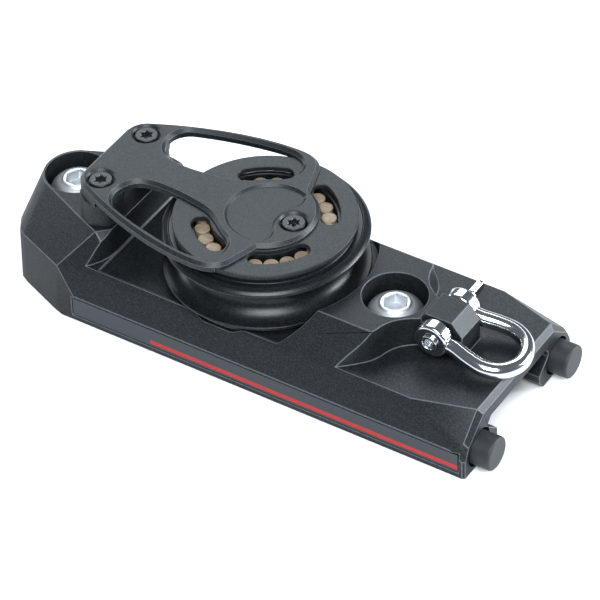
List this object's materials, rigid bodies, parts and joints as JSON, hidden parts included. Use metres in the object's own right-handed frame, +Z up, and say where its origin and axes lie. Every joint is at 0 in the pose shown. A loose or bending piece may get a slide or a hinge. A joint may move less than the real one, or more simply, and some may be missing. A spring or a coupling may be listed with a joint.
{
  "type": "single sheave block",
  "caption": "Track end control: metal body over a track end, one flat-lying sheave on rollers under an open cheek, two deck bolts, a becket block and a bow shackle.",
  "frame": {"origin": "centre of the footprint, on the plane that the body's two legs rest on", "axes": "+X along the body towards the open track end, +Y across to the rear side, +Z up along the sheave's axis"},
  "size_m": [0.1606, 0.057, 0.0382],
  "materials": {
    "body": "black hard anodised, fine blasted",
    "cheek": "black hard anodised, fine blasted",
    "sheave": "black hard anodised, satin",
    "race": "black hard anodised, satin",
    "black_screw": "black coated",
    "stainless": "polished",
    "roller": "satin",
    "balls": "satin",
    "bumper": "satin",
    "strip": "gloss, with one red line"
  },
  "bodies": {
    "frame": {"base_body": "body", "front_side_strip": "strip", "rear_side_strip": "strip", "front_bumper_peg": "bumper", "rear_bumper_peg": "bumper", "nose_deck_bolt": "stainless", "tail_deck_bolt": "stainless", "hub_sleeve": "race", "upper_race_plate": "race", "lower_race_plate": "race", "cheek_plate": "cheek", "front_cheek_screw": "black_screw", "rear_cheek_screw": "black_screw", "hub_screw": "black_screw", "front_cheek_spacer": "body", "rear_cheek_spacer": "body"},
    "wheel": {"sheave": "sheave"},
    "roller_ring": {"roller_01": "roller", "roller_02": "roller", "roller_03": "roller", "roller_04": "roller", "roller_05": "roller", "roller_06": "roller", "roller_07": "roller", "roller_08": "roller", "roller_09": "roller", "roller_10": "roller", "roller_11": "roller", "roller_12": "roller", "roller_13": "roller", "roller_14": "roller", "roller_15": "roller", "roller_16": "roller", "roller_17": "roller", "roller_18": "roller", "roller_19": "roller", "roller_20": "roller", "roller_21": "roller", "roller_22": "roller", "roller_23": "roller", "roller_24": "roller"},
    "upper_ball_ring": {"upper_side_balls": "balls"},
    "lower_ball_ring": {"lower_side_balls": "balls"},
    "shackle": {"shackle_bow": "stainless", "shackle_pin": "stainless"}
  },
  "joints": [
    {"name": "sheave_spin", "type": "hinge", "parent": "frame", "child": "wheel", "pos_m": [-0.0037, 0, 0.0265], "axis": [0, 0, 1], "continuous": true},
    {"name": "roller_orbit", "type": "hinge", "parent": "frame", "child": "roller_ring", "pos_m": [-0.0037, 0, 0.0265], "axis": [0, 0, 1], "continuous": true},
    {"name": "upper_ball_orbit", "type": "hinge", "parent": "frame", "child": "upper_ball_ring", "pos_m": [-0.0037, 0, 0.0265], "axis": [0, 0, 1], "continuous": true},
    {"name": "lower_ball_orbit", "type": "hinge", "parent": "frame", "child": "lower_ball_ring", "pos_m": [-0.0037, 0, 0.0265], "axis": [0, 0, 1], "continuous": true},
    {"name": "shackle_swing", "type": "hinge", "parent": "frame", "child": "shackle", "pos_m": [0.0531, 0, 0.0238], "axis": [0, 1, 0], "range_deg": [-150, 0]}
  ],
  "couplings": [
    {"joint": "roller_orbit", "follows": "sheave_spin", "ratio": 0.5673},
    {"joint": "upper_ball_orbit", "follows": "sheave_spin", "ratio": 0.5},
    {"joint": "lower_ball_orbit", "follows": "sheave_spin", "ratio": 0.5}
  ]
}
